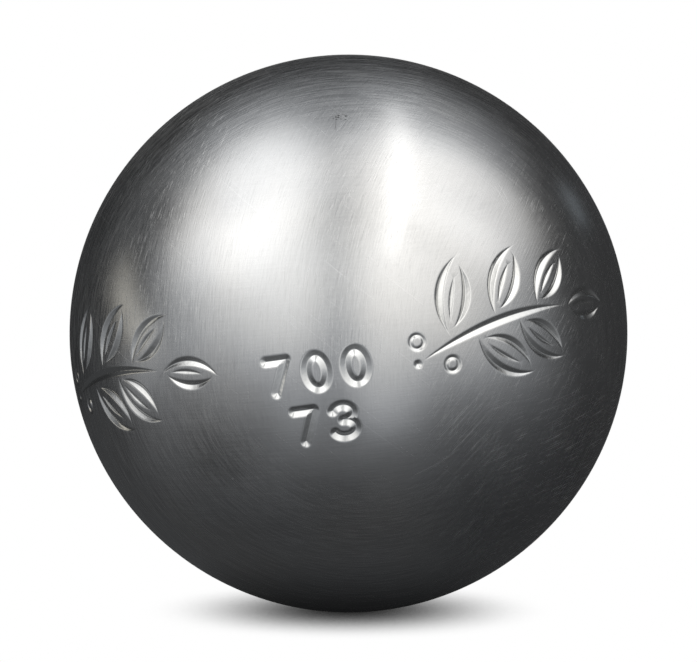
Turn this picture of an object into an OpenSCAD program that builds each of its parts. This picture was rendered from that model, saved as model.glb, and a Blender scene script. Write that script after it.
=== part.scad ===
// A petanque boule: a hollow ball of two forged half shells, centred by a lip and joined by a weld
// that runs right round it and is ground flush. A band of leafy sprigs is engraved round the ball.
// The origin is the ball's centre. The front of the ball faces -Y, up is +Z, and the seam between
// the halves lies in the plane of X and Z, where the ball's outline is when it is seen from the front.

/* [Ball] */
// Outside diameter of the finished ball
ball_d = 73; // [70.5:0.5:80]
// Thickness of the steel wall
wall_t = 6.4; // [5.5:0.1:9]

/* [Seam] */
// Thickness of the front half's lip, which centres the rear half
lip_t = 1.6; // [1:0.1:2]
// How far the lip reaches past the seam
lip_l = 1.8; // [1:0.1:3]
// Clearance round the lip
lip_gap = 0.05; // [0.02:0.01:0.15]
// Clearance between the lip's end and the bottom of its seat
lip_end_gap = 0.3; // [0.1:0.05:0.6]
// Width of the bevel that leads the lip into its seat
lip_bevel = 0.4; // [0.1:0.05:0.6]
// Width of the flat land on which the halves butt
land_w = 1.2; // [0.6:0.1:1.6]
// Width of the weld at its root
root_w = 0.8; // [0.4:0.1:1.6]
// Angle between the walls of the weld's groove
groove_angle = 60; // [40:5:80]

/* [Engraving] */
// Angle between the walls of an engraved line
cutter_angle = 115; // [100:5:120]
// Number of sprigs round the ball
sprig_count = 4; // [1:1:4]
// Turn of the first sprig from the front, to the right
sprig_turn = 38; // [30:1:60]
// Lean of the engraved band, with its right side up
band_lean = 9; // [0:1:20]
// Length of a sprig's stem along the ball
stem_l = 21; // [19:0.5:23]
// Height of the stem's arch over its chord
stem_bow = 1.4; // [0.5:0.1:2]
// Climb of the stem from its foot to its end
stem_rise = 3; // [0:0.5:5]
// Depth of the stem's line
stem_depth = 0.42; // [0.3:0.02:0.44]
// Number of leaves beside the stem
leaf_count = 5; // [2:1:5]
// Length of the largest leaf
leaf_l = 10; // [8:0.5:10.5]
// Width of the largest leaf
leaf_w = 3.8; // [3.6:0.1:4]
// Angle between a side leaf and the stem, half way along it
leaf_spread = 46; // [42:1:50]
// How much wider that angle is at the stem's foot than at its end
leaf_fan = 20; // [10:1:30]
// Distance from the stem's middle to a leaf's foot
leaf_standoff = 1.5; // [1.3:0.1:2]
// Depth of a leaf's outline
outline_depth = 0.38; // [0.3:0.02:0.4]
// Depth of a leaf's midrib
rib_depth = 0.2; // [0.12:0.02:0.24]
// Sideways bend of a midrib
rib_bow = 0.2; // [0.1:0.05:0.3]
// Radius of a berry's ring
berry_r = 0.85; // [0.75:0.05:1]
// Depth of a berry's ring
berry_depth = 0.22; // [0.14:0.02:0.26]
// Distance from the stem to a berry's centre
berry_out = 2.4; // [2.2:0.1:3]

/* [Hidden] */
$fn = 128;

// How far a cutter runs past what it cuts
overrun = 0.06;
// Degrees in a radian
radian = 180 / PI;
front = -1;
rear = 1;

ball_r = ball_d / 2;
cavity_r = ball_r - wall_t;
lip_r = cavity_r + lip_t;
seat_r = lip_r + lip_gap;
seat_l = lip_l + lip_end_gap;
root_r = seat_r + land_w;

// Where the leaves beside the stem start, as shares of the stem's length
first_leaf_share = 0.14;
last_leaf_share = 0.76;
// How much shorter than the largest a leaf is at the stem's end
leaf_taper_share = 0.2;
// How far the outline nearer the stem stops short of the leaf's ends, as a share of its length
outline_gap_share = 0.1;
// Where a midrib starts and ends, as shares of its leaf's length
rib_start_share = 0.18;
rib_end_share = 0.72;
// Where the dot before the stem's foot and the two berries lie, as shares of the stem's length
dot_share = -0.06;
berry_shares = [0, 0.12];

stem_start = [-(stem_l + leaf_l * (1 - leaf_taper_share)) / 2, -stem_rise / 2];
stem_run = [stem_l, stem_rise];
stem_side = [-stem_rise, stem_l] / norm(stem_run);
sprig_reach = (norm(stem_run) / 2 + leaf_l) / ball_r * radian;

function unit(v) = v / norm(v);

// The point on the ball that lies at p = [along, up] over the surface from the front
function on_ball(p, r) =
    let (turn = p.x / ball_r * radian, climb = p.y / ball_r * radian)
    r * [sin(turn) * cos(climb), -cos(turn) * cos(climb), sin(climb)];

// Centre of the circle through three points
function arc_centre(a, b, c) =
    let (u = a - b, v = c - b, w = cross(u, v))
    b + cross(u * u * v - v * v * u, w) / (2 * w * w);

// A step of length l from p, at an angle from the band
function step(p, heading, l) = p + l * [cos(heading), sin(heading)];

// Place on the stem at share s of its length, and the stem's heading there
function stem_at(s) = stem_start + s * stem_run + 4 * s * (1 - s) * stem_bow * stem_side;
function stem_heading(s) =
    let (way = stem_run + 4 * (1 - 2 * s) * stem_bow * stem_side)
    atan2(way.y, way.x);
function side_of(i) = i % 2 == 0 ? 1 : -1;
function leaf_share(i) =
    first_leaf_share + i * (last_leaf_share - first_leaf_share) / max(leaf_count - 1, 1);

// Section of an engraved line: a V that opens along the unit vector up from its tip
module v_section(tip, up, height) {
    across = height * tan(cutter_angle / 2) * [-up.y, up.x];
    polygon([tip, tip + height * up - across, tip + height * up + across]);
}

// A swelling line: its tip follows the arc through the surface at both ends and its full depth
// between them, so the line is widest there and runs out to nothing
module swell(start, middle, end, depth) {
    a = on_ball(start, ball_r);
    b = on_ball(middle, ball_r - depth);
    c = on_ball(end, ball_r);
    centre = arc_centre(a, b, c);
    radius = norm(b - centre);
    x = unit(b - centre);
    z = unit(cross(c - b, a - b));
    y = cross(z, x);
    half_turn = acos(min(x * unit(a - centre), x * unit(c - centre))) + overrun / radius * radian;
    multmatrix([
        [x.x, y.x, z.x, centre.x],
        [x.y, y.y, z.y, centre.y],
        [x.z, y.z, z.z, centre.z],
    ])
        rotate([0, 0, -half_turn])
            rotate_extrude(angle = 2 * half_turn)
                v_section([radius, 0], unit([b * x, b * z]), depth + overrun);
}

// Stands its children on the ball at p, pointing outwards from radius r
module stand_on_ball(p, r) {
    translate(on_ball(p, r))
        rotate([90 - p.y / ball_r * radian, 0, p.x / ball_r * radian])
            children();
}

// A conical dot, as the point of the cutter leaves it
module dot(p, depth) {
    stand_on_ball(p, ball_r - depth)
        cylinder(h = depth + overrun, r1 = 0, r2 = (depth + overrun) * tan(cutter_angle / 2));
}

// A ring of even depth whose axis points out of the ball
module berry(p) {
    stand_on_ball(p, 0)
        rotate_extrude()
            v_section(
                (ball_r - berry_depth) * unit([berry_r, ball_r]),
                unit([berry_r, ball_r]),
                berry_depth + overrun
            );
}

// A place on a leaf's outline, at share s of the leaf's length
function outline_at(base, heading, length, side, s) =
    let (bow = 4 * s * (1 - s) * leaf_w / 2 * length / leaf_l)
    step(step(base, heading, s * length), heading + side * 90, bow);

// A pointed leaf: a long outline on its outer side, a short one nearer the stem, and a midrib
module leaf(base, heading, length, side) {
    for (edge = [side, -side]) {
        gap = edge == side ? 0 : outline_gap_share;
        swell(
            outline_at(base, heading, length, edge, gap),
            outline_at(base, heading, length, edge, 1 / 2),
            outline_at(base, heading, length, edge, 1 - gap),
            outline_depth
        );
    }
    rib_start = step(base, heading, rib_start_share * length);
    rib_end = step(base, heading, rib_end_share * length);
    swell(rib_start, step((rib_start + rib_end) / 2, heading + side * 90, rib_bow), rib_end, rib_depth);
}

// A leaf that stands off the stem at share s, turned from it by an angle
module leaf_on_stem(s, turn, side) {
    heading = stem_heading(s) + side * turn;
    leaf(step(stem_at(s), heading, leaf_standoff), heading, leaf_l * (1 - leaf_taper_share * s), side);
}

// A stem with leaves on alternate sides and one more at its end, and a dot and berries at its foot
module sprig() {
    swell(stem_at(0), stem_at(1 / 2), stem_at(1), stem_depth);
    leaf_on_stem(1, 0, 1);
    for (i = [0 : leaf_count - 1])
        leaf_on_stem(leaf_share(i), leaf_spread + leaf_fan * (1 / 2 - leaf_share(i)), side_of(i));
    dot(stem_at(dot_share), outline_depth);
    for (i = [0, 1]) {
        share = berry_shares[i];
        berry(step(stem_at(share), stem_heading(share) + side_of(i) * 90, berry_out));
    }
}

// Does a sprig at this turn reach the front half, the rear half or, at side 0, the seam?
function reaches(turn, side) = (side == 0 ? abs(cos(turn)) : side * cos(turn)) < sin(sprig_reach);

// The sprigs that reach this side of the ball
module engraving(side) {
    rotate([0, -band_lean, 0])
        for (i = [0 : sprig_count - 1]) {
            turn = sprig_turn + i * 360 / sprig_count;
            if (reaches(turn, side))
                rotate([0, 0, turn])
                    sprig();
        }
}

// Lays a solid of revolution on its side, with its +Z end to the front or the rear
module lay(side) {
    rotate([side * -90, 0, 0])
        children();
}

// The space that the weld fills: a groove round the seam, open at the surface
module weld_groove() {
    half_root = root_w / 2;
    top_r = ball_r + overrun;
    half_top = half_root + (top_r - root_r) * tan(groove_angle / 2);
    rotate_extrude()
        polygon([[root_r, -half_root], [top_r, -half_top], [top_r, half_top], [root_r, half_root]]);
}

// Half of the ball as forged and turned, with its flat land on the seam
module dome() {
    intersection() {
        sphere(ball_r);
        cylinder(h = ball_r + overrun, r = ball_r + overrun);
    }
}

// The front half has the lip
module front_shell() {
    color([0.46, 0.46, 0.48])
        difference() {
            lay(front)
                difference() {
                    union() {
                        dome();
                        translate([0, 0, -lip_l])
                            cylinder(h = lip_bevel, r1 = lip_r - lip_bevel, r2 = lip_r);
                        translate([0, 0, lip_bevel - lip_l])
                            cylinder(h = lip_l, r = lip_r);
                    }
                    sphere(cavity_r);
                    weld_groove();
                }
            engraving(front);
        }
}

// The rear half has the seat for the lip
module rear_shell() {
    color([0.43, 0.43, 0.45])
        difference() {
            lay(rear)
                difference() {
                    dome();
                    sphere(cavity_r);
                    translate([0, 0, -overrun])
                        cylinder(h = seat_l + overrun, r = seat_r);
                    weld_groove();
                }
            engraving(rear);
        }
}

// The weld, ground flush with the ball
module weld_bead() {
    color([0.52, 0.51, 0.5])
        difference() {
            lay(front)
                intersection() {
                    weld_groove();
                    sphere(ball_r);
                }
            engraving(0);
        }
}

front_shell();
rear_shell();
weld_bead();
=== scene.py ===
"""An engraved steel petanque boule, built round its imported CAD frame, with a plain studio.

Lengths are in metres and the origin is the ball's centre. The front faces -Y and up is +Z.
The engraving repeats the arcs of the CAD source, and the numerals are cut with the same cutter.
"""
import math
from collections import namedtuple
from functools import reduce
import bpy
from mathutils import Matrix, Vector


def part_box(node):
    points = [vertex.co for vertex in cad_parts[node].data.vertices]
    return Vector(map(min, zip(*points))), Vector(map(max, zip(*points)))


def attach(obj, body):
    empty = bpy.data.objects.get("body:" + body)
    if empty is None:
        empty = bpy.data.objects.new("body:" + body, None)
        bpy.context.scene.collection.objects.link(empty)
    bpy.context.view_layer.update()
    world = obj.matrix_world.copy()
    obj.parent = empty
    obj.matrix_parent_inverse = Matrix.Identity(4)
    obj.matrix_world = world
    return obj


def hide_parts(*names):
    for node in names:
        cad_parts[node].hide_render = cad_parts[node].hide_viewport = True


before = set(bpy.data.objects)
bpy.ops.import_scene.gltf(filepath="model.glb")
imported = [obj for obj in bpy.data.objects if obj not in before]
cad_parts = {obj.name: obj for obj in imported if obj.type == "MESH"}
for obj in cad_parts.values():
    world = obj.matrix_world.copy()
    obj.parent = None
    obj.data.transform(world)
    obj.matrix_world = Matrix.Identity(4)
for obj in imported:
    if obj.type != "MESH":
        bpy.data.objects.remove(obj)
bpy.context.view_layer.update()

from types import SimpleNamespace

import bpy
import numpy as np
from mathutils import Matrix, Vector
from mathutils.geometry import delaunay_2d_cdt

bl_info = {
    "name": "Petanque boule",
    "version": (1, 0, 0),
    "blender": (4, 5, 0),
    "location": "3D View > Sidebar > Boule",
    "description": "Builds an engraved, satin ground petanque boule and its studio",
    "category": "Add Mesh",
}

MM = 0.001
FRONT, REAR = -1, 1
LOWEST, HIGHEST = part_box("weld_bead")
BALL_RADIUS = (HIGHEST.x - LOWEST.x) / 2

# Where the leaves beside a stem start, where its dot lies, and where its two berries lie with
# their side of the stem, as shares of the stem's length
FIRST_LEAF, LAST_LEAF = 0.14, 0.76
DOT = -0.06
BERRIES = ((0, 1), (0.12, -1))
# How much shorter than the largest a leaf is at the stem's end, how far its outline nearer the
# stem stops short of its ends, and where its midrib starts and ends, as shares of its length
LEAF_TAPER, OUTLINE_GAP = 0.2, 0.1
RIB_START, RIB_END = 0.18, 0.72
# The lines of numerals: the ball's mass in grams, and its diameter in millimetres
NUMERALS = ("700", "73")

# Gaps between the mesh's points: along a cut on a circle, along a numeral's line and round its
# ends, on the open ball, and the least gap near the cuts
RING_STEP, LINE_STEP, END_STEP = 0.13 * MM, 0.11 * MM, 0.02 * MM
OPEN_STEP, LEAST_STEP = 0.8 * MM, 0.03 * MM
# The least number of points along a cut on a circle, and round a numeral's end
LEAST_ON_RING, LEAST_ON_END = 12, 8
# Where the lines of points beside a cut's edge stand, as a share of its rounding's half width, and
# how far outside them one more line keeps the ball's own normal
EDGE_SHARE, GUARD = 1.2, 0.12 * MM
# How far the open ball's points stay from the cuts' points, and the squares that thin the cuts'
# points for that
CLEARANCE, CROWD_STEP = 0.45 * MM, 0.4 * MM
# How far from a cut's line and past its ends the surface is still worked out from it, and the
# same for the numerals
BESIDE_CUT, PAST_END, BESIDE_NUMERALS = 3 * MM, 0.4 * MM, 2 * MM
# The distance up to which two points are one, and the step over which a slope is measured
SAME_PLACE, SLOPE_STEP = 0.004 * MM, 0.006 * MM
# Depth of a cut at which it counts as all cut steel
CUT_STEEL_DEPTH = 0.1 * MM
# Points round the seam, and the turn in radians past which a cut goes all the way round
RIM_COUNT, NEARLY_ROUND = 360, 6
# Points whose distances to the numerals are worked out at a time
BATCH = 4000

# A cut that a V cutter leaves along a circle: its tip runs round centre at radius, in the plane of
# x and y, from angle first to angle last, and it opens along up, given on the circle's own radius and z
Ring = namedtuple("Ring", "centre x y z radius up first last")


def length(default, name, description):
    """A length setting, in metres."""
    return bpy.props.FloatProperty(
        name=name, description=description, default=default, unit="LENGTH", subtype="DISTANCE",
        precision=5,
    )


def angle(degrees, name, description):
    """An angle setting, given in degrees."""
    return bpy.props.FloatProperty(
        name=name, description=description, default=math.radians(degrees), unit="ROTATION",
        subtype="ANGLE",
    )


def share(default, name, description):
    """A plain number setting."""
    return bpy.props.FloatProperty(name=name, description=description, default=default, precision=3)


def colour(default, name, description):
    """A colour setting."""
    return bpy.props.FloatVectorProperty(
        name=name, description=description, default=default, size=3, subtype="COLOR", min=0, max=1
    )


class BallSizes(bpy.types.PropertyGroup):
    """Sizes of the hollow ball and of its seam."""

    radius: length(BALL_RADIUS, "Radius", "Outside radius of the ball")
    wall: length(6.4 * MM, "Wall", "Thickness of the steel wall")
    lip: length(1.6 * MM, "Lip", "Thickness of the lip that centres the rear half")
    lip_length: length(1.8 * MM, "Lip length", "How far the lip reaches past the seam")
    lip_gap: length(0.05 * MM, "Lip gap", "Clearance round the lip")
    lip_end_gap: length(0.3 * MM, "Lip end gap", "Clearance past the lip's end")
    lip_bevel: length(0.4 * MM, "Lip bevel", "Width of the bevel on the lip's end")
    land: length(1.2 * MM, "Land", "Width of the land on which the halves butt")
    root: length(0.8 * MM, "Weld root", "Width of the weld at its root")
    groove: angle(60, "Weld groove", "Angle between the walls of the weld's groove")


class EngravingSizes(bpy.types.PropertyGroup):
    """Sizes of the engraved sprigs and numerals."""

    cutter: angle(115, "Cutter", "Angle between the walls of an engraved line")
    sprigs: bpy.props.IntProperty(name="Sprigs", description="Sprigs round the ball", default=4)
    sprig_turn: angle(38, "First sprig", "Turn of the first sprig from the front, to the right")
    lean: angle(9, "Lean", "Lean of the engraved band, with its right side up")
    stem: length(21 * MM, "Stem", "Length of a stem")
    stem_bow: length(1.4 * MM, "Stem bow", "Height of a stem's arch over its chord")
    stem_rise: length(3 * MM, "Stem rise", "Climb of a stem from its foot to its end")
    stem_depth: length(0.42 * MM, "Stem depth", "Depth of a stem's line")
    leaves: bpy.props.IntProperty(name="Leaves", description="Leaves beside a stem", default=5)
    leaf: length(10 * MM, "Leaf", "Length of the largest leaf")
    leaf_width: length(3.8 * MM, "Leaf width", "Width of the largest leaf")
    leaf_spread: angle(46, "Leaf spread", "Angle between stem and leaf, half way along the stem")
    leaf_fan: angle(20, "Leaf fan", "How much wider that angle is at the stem's foot")
    leaf_standoff: length(1.5 * MM, "Leaf standoff", "Distance from the stem to a leaf's foot")
    outline_depth: length(0.38 * MM, "Outline depth", "Depth of a leaf's outline")
    rib_depth: length(0.2 * MM, "Rib depth", "Depth of a leaf's midrib")
    rib_bow: length(0.2 * MM, "Rib bow", "Sideways bend of a midrib")
    berry: length(0.85 * MM, "Berry", "Radius of a berry's ring")
    berry_depth: length(0.22 * MM, "Berry depth", "Depth of a berry's ring")
    berry_out: length(2.4 * MM, "Berry distance", "Distance from the stem to a berry")
    numeral_height: length(5.5 * MM, "Numeral height", "Height of a numeral over its cut edges")
    numeral_width: length(4.0 * MM, "Numeral width", "Width of a numeral over its cut edges")
    numeral_gap: length(0.95 * MM, "Numeral gap", "Gap between two numerals")
    numeral_depth: length(0.46 * MM, "Numeral depth", "Depth of a numeral's line")
    numeral_turn: angle(-6.5, "Numeral turn", "Turn of the numerals from the front, to the right")
    first_line: length(-0.9 * MM, "First line", "Height of the first line's middle on the band")
    line_drop: length(6.7 * MM, "Line drop", "Drop from one line of numerals to the next")
    shoulder: length(0.06 * MM, "Shoulder", "Rounding of a cut's edges")
    tip: length(0.04 * MM, "Tip", "Rounding of the cutter's tip")


class SteelFinish(bpy.types.PropertyGroup):
    """Colours and gloss of the steel."""

    shell: colour((0.625, 0.625, 0.625), "Shell", "Colour of the ground shells")
    weld: colour((0.61, 0.605, 0.6), "Weld", "Colour of the ground weld")
    cut: colour((0.8, 0.8, 0.79), "Cut", "Colour of freshly cut steel in the engraving")
    roughness: share(0.18, "Roughness", "Roughness of the satin ground surface")
    cut_roughness: share(0.15, "Cut roughness", "Roughness of the engraving's walls")
    weld_roughness: share(0.23, "Weld roughness", "Roughness of the ground weld")


class StudioSettings(bpy.types.PropertyGroup):
    """Camera and light. A level is a radiance, where 1 is white."""

    distance: length(0.6, "Distance", "Distance from the ball's centre to the camera")
    elevation: angle(5, "Elevation", "Height of the camera over the horizontal")
    lamp_distance: length(0.7, "Lamp distance", "Distance from the ball's centre to the lamps")
    left_level: share(0.78, "Left softbox", "Level of the left softbox")
    right_level: share(0.65, "Right softbox", "Level of the right softbox")
    column_level: share(0.73, "Column", "Level of the narrow softbox right of the camera")
    strip_level: share(0.53, "Strip", "Level of the weak warm strip at the left")
    window_level: share(0.21, "Window", "Level of the faint window behind, at the right")
    front_level: share(2.0, "Tent in front", "Level that the tent would reach straight in front")
    top_level: share(1.03, "Tent above", "Level of the tent straight above")
    # Away from the ball's foot, where the tent's light is painted dark as the ball's shadow
    ground_level: share(0.045, "Tent below", "Level of the tent below, away from the ball's foot")
    dark_level: share(0.008, "Tent's shade", "Level of the tent where it is darkest")
    fill_level: share(0.6, "Fill", "Level of the world for diffuse light")
    tent: colour((0.94, 0.965, 1.0), "Tent", "Colour of the tent where it is dark")
    lit_tent: colour((1.0, 0.995, 0.98), "Lit tent", "Colour of the tent where it is bright")
    floor: colour((0.9, 0.9, 0.9), "Floor", "Colour of the floor")


# A lamp's place by its turn from the camera to the right and its climb, in degrees, its size in
# metres, its roll about its own axis in degrees, the share of its half width and half height over
# which it fades towards its edges, and its colour
Softbox = namedtuple("Softbox", "turn climb width height roll soft colour")
SOFTBOXES = {
    "left": Softbox(-66.2, 51.3, 0.940, 1.242, 7.7, 0.78, (1.0, 0.99, 0.975)),
    "right": Softbox(72.7, 54.0, 0.786, 1.224, 19.1, 0.69, (1.0, 0.99, 0.975)),
    "column": Softbox(50.0, 68.1, 0.096, 1.562, -43.6, 0.45, (1.0, 0.99, 0.975)),
    "strip": Softbox(-92.0, -0.9, 0.168, 0.860, 56.1, 0.50, (1.0, 0.95, 0.84)),
    "window": Softbox(136.0, 18.5, 0.130, 0.110, -30.0, 0.50, (0.80, 0.91, 1.0)),
}


# A soft glow on the tent, or a soft shade where its level is under 0: its middle's turn and climb,
# the angles from the middle where it starts and where it is full, in degrees, and its level
Glow = namedtuple("Glow", "turn climb start full level")
GLOWS = (
    Glow(-87.0, -7.5, 14, 4, 0.2),
    Glow(-120.3, 26.7, 20, 5, 0.035),
    Glow(13.9, -11.8, 18.5, 3.7, 0.168),
    Glow(-4.6, -18.1, 22.3, 4.5, 0.078),
    Glow(-45.0, -18.3, 24.6, 4.9, -0.08),
)
# Where the tent's light and shade start and where they are full, each by x 0, y 1 or z 2 of the
# direction from the ball's centre
TENT_ZONES = {
    "front": (1, 0.297, -1.155),
    "front_height": (2, -0.814, 0.999),
    "top": (2, 0.446, 0.965),
    "top_to_front": (1, 1.468, -0.882),
    "shade_right": (0, 0.112, 0.612),
    "shade_low": (2, 0.021, -0.479),
    # Straight under the ball the tent's ground light is painted out, as the ball's shadow on the floor
    "off_the_foot": (2, -1.0, -0.811),
    "back": (1, 0.35, 0.85),
    "back_height": (2, -0.45, -0.1),
    "back_left": (0, 0.3, -0.3),
}
# Shares of the light that the shade takes in front and below, and that the back takes below, at
# the right and at the left
SHADE_IN_FRONT, SHADE_BELOW = 0.53, 0.39
BACK_AT_RIGHT, BACK_AT_LEFT = 0.35, 0.6
# The painted darker upright band before the camera: its middle and width along x, and the share that it
# takes
DARK_BAND_MIDDLE, DARK_BAND_WIDTH, DARK_BAND_SHARE = -0.075, 0.18, 0.516
# Levels between which the tent's colour turns from dark to lit
CLOTH_LEVELS = (0.3, 1.0)
# The tent's radius and its gap to the floor, half the floor's width, how far the ball's painted
# shadow reaches on the floor, and the shares of open sky at which the floor is painted black and white
TENT_RADIUS, TENT_GAP = 0.9, 0.05 * MM
FLOOR_REACH, CONTACT_REACH = 4.0, 20 * MM
SKY_FOR_BLACK, SKY_FOR_WHITE = -0.034, 0.454
# The image's width, the ball's radius in it, and how far the ball's middle lies under the
# image's, in pixels, and the camera's sensor in mm
IMAGE_WIDTH, IMAGE_RADIUS, IMAGE_DROP = 697, 279, 2.5
SENSOR = 36


# Surfaces


def unit(v):
    """Each vector divided by its own length."""
    return v / np.linalg.norm(v, axis=-1, keepdims=True)


def on_ball(p, radius, ball):
    """The point at a radius over p = (along, up) on the ball's surface, from the front.
    The turn is along/ball and the climb is up/ball, in radians, and the point is
    radius * (sin turn cos climb, -cos turn cos climb, sin climb)."""
    turn, climb = np.moveaxis(np.asarray(p, float), -1, 0) / ball
    return radius * np.stack(
        [np.sin(turn) * np.cos(climb), -np.cos(turn) * np.cos(climb), np.sin(climb)], -1
    )


def band_place(turn, lean):
    """A turn to the right about Z, and then the band's lean about Y that lifts its right side."""
    c, s = math.cos(turn), math.sin(turn)
    d, t = math.cos(lean), math.sin(lean)
    return np.array([[d, 0, -t], [0, 1, 0], [t, 0, d]]) @ np.array([[c, -s, 0], [s, c, 0], [0, 0, 1]])


def moved(ring, place):
    """The same cut, turned about the ball's centre."""
    return ring._replace(
        centre=place @ ring.centre, x=place @ ring.x, y=place @ ring.y, z=place @ ring.z
    )


def swell(start, middle, end, depth, ball):
    """A swelling line: its tip follows the circle through the surface at start and end, and
    through the full depth under middle. The centre of the circle through a, b and c is
    b + ((u.u) v - (v.v) u) x w / (2 w.w), with u = a - b, v = c - b and w = u x v."""
    a, c = on_ball(start, ball, ball), on_ball(end, ball, ball)
    b = on_ball(middle, ball - depth, ball)
    u, v = a - b, c - b
    w = np.cross(u, v)
    centre = b + np.cross(u @ u * v - v @ v * u, w) / (2 * w @ w)
    x, z = unit(b - centre), unit(np.cross(v, u))
    y = np.cross(z, x)
    ends = [math.atan2((p - centre) @ y, (p - centre) @ x) for p in (a, c)]
    up = unit(np.array([b @ x, b @ z]))
    return Ring(centre, x, y, z, np.linalg.norm(b - centre), up, min(ends), max(ends))


def round_cut(p, radius, depth, ball):
    """A cut of even depth round the ball's own radius through p. At radius 0 it is a cone."""
    z = on_ball(p, 1, ball)
    x = unit(np.cross([0, 0, 1], z))
    up = unit(np.array([radius, ball]))
    tip = (ball - depth) * up
    return Ring(tip[1] * z, x, np.cross(z, x), z, tip[0], up, -math.pi, math.pi)


def step(p, heading, reach):
    """A step from p, at an angle from the band."""
    return np.asarray(p) + reach * np.array([math.cos(heading), math.sin(heading)])


def leaf_cuts(e, ball, base, heading, reach, side):
    """A pointed leaf: a long outline on its outer side, a short one nearer the stem, a midrib.
    At share s of its length the outline stands 4 s (1 - s) half widths off its middle."""

    def outline(edge, s):
        """The place on an outline at share s of the leaf's length."""
        bow = 2 * s * (1 - s) * e.leaf_width * reach / e.leaf
        return step(step(base, heading, s * reach), heading + edge * math.pi / 2, bow)

    for edge, gap in ((side, 0), (-side, OUTLINE_GAP)):
        start, middle, end = outline(edge, gap), outline(edge, 0.5), outline(edge, 1 - gap)
        yield swell(start, middle, end, e.outline_depth, ball)
    start, end = step(base, heading, RIB_START * reach), step(base, heading, RIB_END * reach)
    middle = step((start + end) / 2, heading + side * math.pi / 2, e.rib_bow)
    yield swell(start, middle, end, e.rib_depth, ball)


def sprig_cuts(e, ball):
    """A bowed stem, leaves on alternate sides and one at its end, and a dot and berries at its
    foot. At share s the stem is at its start + s run + 4 s (1 - s) bow, square to the run."""
    run = np.array([e.stem, e.stem_rise])
    start = -np.array([e.stem + (1 - LEAF_TAPER) * e.leaf, e.stem_rise]) / 2
    across = np.array([-e.stem_rise, e.stem]) / np.linalg.norm(run)

    def at(s):
        """The place on the stem at share s."""
        return start + s * run + 4 * s * (1 - s) * e.stem_bow * across

    def heading(s):
        """The stem's heading at share s, from the slope of its formula."""
        way = run + 4 * (1 - 2 * s) * e.stem_bow * across
        return math.atan2(way[1], way[0])

    def leaf(s, turn, side):
        """The cuts of a leaf that stands off the stem at share s, turned from it."""
        way = heading(s) + side * turn
        base = step(at(s), way, e.leaf_standoff)
        return leaf_cuts(e, ball, base, way, e.leaf * (1 - LEAF_TAPER * s), side)

    yield swell(at(0), at(0.5), at(1), e.stem_depth, ball)
    yield from leaf(1, 0, 1)
    for i in range(e.leaves):
        s = FIRST_LEAF + i * (LAST_LEAF - FIRST_LEAF) / max(e.leaves - 1, 1)
        yield from leaf(s, e.leaf_spread + e.leaf_fan * (0.5 - s), 1 if i % 2 == 0 else -1)
    yield round_cut(at(DOT), 0, e.outline_depth, ball)
    for s, side in BERRIES:
        centre = step(at(s), heading(s) + side * math.pi / 2, e.berry_out)
        yield round_cut(centre, e.berry, e.berry_depth, ball)


def band_cuts(e, ball, side):
    """The cuts of the sprigs whose middle lies on this side of the ball."""
    rings = list(sprig_cuts(e, ball))
    turns = [e.sprig_turn + i * 2 * math.pi / e.sprigs for i in range(e.sprigs)]
    return [
        moved(ring, band_place(turn, e.lean))
        for turn in turns if side * math.cos(turn) < 0
        for ring in rings
    ]


def arc(centre, radii, first, last, count=60):
    """Points on an ellipse, from one angle in degrees to another."""
    turn = np.radians(np.linspace(first, last, count))
    return np.asarray(centre) + np.asarray(radii) * np.stack([np.cos(turn), np.sin(turn)], -1)


def numeral_parts(figure, width, height):
    """The smooth parts of a numeral's middle line, from its lower left corner: two straight lines
    for a 7, an ellipse for a 0, and an upper and a lower arc that meet at the waist for a 3."""
    if figure == "7":
        foot, corner = [0.3 * width, 0], [width, height]
        return [np.linspace([0, height], corner, 60), np.linspace(corner, foot, 60)]
    if figure == "0":
        middle = [width / 2, height / 2]
        return [arc(middle, middle, 0, 360, 120)]
    waist, middle = 0.53 * height, 0.44 * width
    upper, lower = (height - waist) / 2, waist / 2
    upper_width, lower_width = 0.5 * width, 0.56 * width
    upper_end, lower_end = 158, -156
    return [
        arc([middle, height - upper], [upper_width, upper], upper_end, -90),
        arc([middle, lower], [lower_width, lower], 90, lower_end),
    ]


def even(points, gap):
    """The same line with its points an even gap apart."""
    run = np.concatenate([[0], np.cumsum(np.linalg.norm(np.diff(points, axis=0), axis=1))])
    at = np.linspace(0, run[-1], max(int(run[-1] / gap), 2) + 1)
    return np.stack([np.interp(at, run, points[:, k]) for k in (0, 1)], -1)


def numeral_lines(e, ball):
    """The middle lines of all numerals on the band, each with its points evenly apart."""
    groove = 2 * e.numeral_depth * math.tan(e.cutter / 2)
    width, height = e.numeral_width - groove, e.numeral_height - groove
    pitch = e.numeral_width + e.numeral_gap
    lines = []
    for row, text in enumerate(NUMERALS):
        left = e.numeral_turn * ball - ((len(text) - 1) * pitch + width) / 2
        low = e.first_line - row * e.line_drop - height / 2
        for place, figure in enumerate(text):
            corner = np.array([left + place * pitch, low])
            parts = numeral_parts(figure, width, height)
            lines += [even(corner + part, LINE_STEP) for part in parts]
    return lines


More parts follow.
